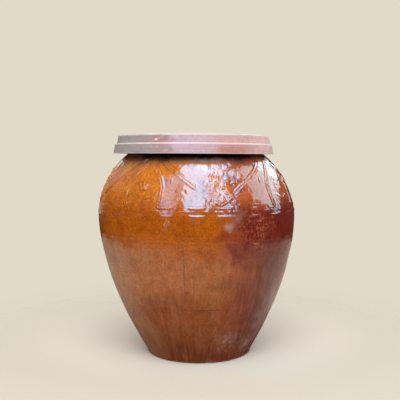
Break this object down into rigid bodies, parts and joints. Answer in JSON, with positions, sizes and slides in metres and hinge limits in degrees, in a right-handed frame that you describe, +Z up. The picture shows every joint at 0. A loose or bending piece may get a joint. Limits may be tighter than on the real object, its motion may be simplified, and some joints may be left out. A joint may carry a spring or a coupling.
{
  "type": "storage jar",
  "caption": "Large glazed earthenware storage jar, wide belly on a narrow foot, relief round the shoulder, with a loose stepped clay lid.",
  "frame": {"origin": "on the ground, straight under the middle of the belly", "axes": "+Z up, -Y towards the viewer's side of the picture, +X to that viewer's right"},
  "size_m": [0.6017, 0.6016, 0.661],
  "materials": {
    "amber_glaze": "gloss",
    "bare_clay": "matte"
  },
  "bodies": {
    "jar": {"jar_body": "amber_glaze", "lappet_band_1": "amber_glaze", "lappet_band_2": "amber_glaze", "lappet_band_3": "amber_glaze", "lappet_band_4": "amber_glaze", "arch_band_1": "amber_glaze", "arch_band_2": "amber_glaze", "arch_band_3": "amber_glaze", "arch_band_4": "amber_glaze", "scroll_left_1": "amber_glaze", "scroll_left_2": "amber_glaze", "scroll_left_3": "amber_glaze", "scroll_left_4": "amber_glaze", "scroll_right_1": "amber_glaze", "scroll_right_2": "amber_glaze", "scroll_right_3": "amber_glaze", "scroll_right_4": "amber_glaze", "flower_1": "amber_glaze", "flower_2": "amber_glaze", "flower_3": "amber_glaze", "flower_4": "amber_glaze", "leaf_left_1": "amber_glaze", "leaf_left_2": "amber_glaze", "leaf_left_3": "amber_glaze", "leaf_left_4": "amber_glaze", "leaf_right_1": "amber_glaze", "leaf_right_2": "amber_glaze", "leaf_right_3": "amber_glaze", "leaf_right_4": "amber_glaze", "bud_left_1": "amber_glaze", "bud_left_2": "amber_glaze", "bud_left_3": "amber_glaze", "bud_left_4": "amber_glaze", "bud_right_1": "amber_glaze", "bud_right_2": "amber_glaze", "bud_right_3": "amber_glaze", "bud_right_4": "amber_glaze"},
    "lid": {"lid": "bare_clay"}
  },
  "joints": [
    {"name": "lid_lift", "type": "slide", "parent": "jar", "child": "lid", "axis": [0, 0, 1], "range_m": [0, 0.12]}
  ]
}
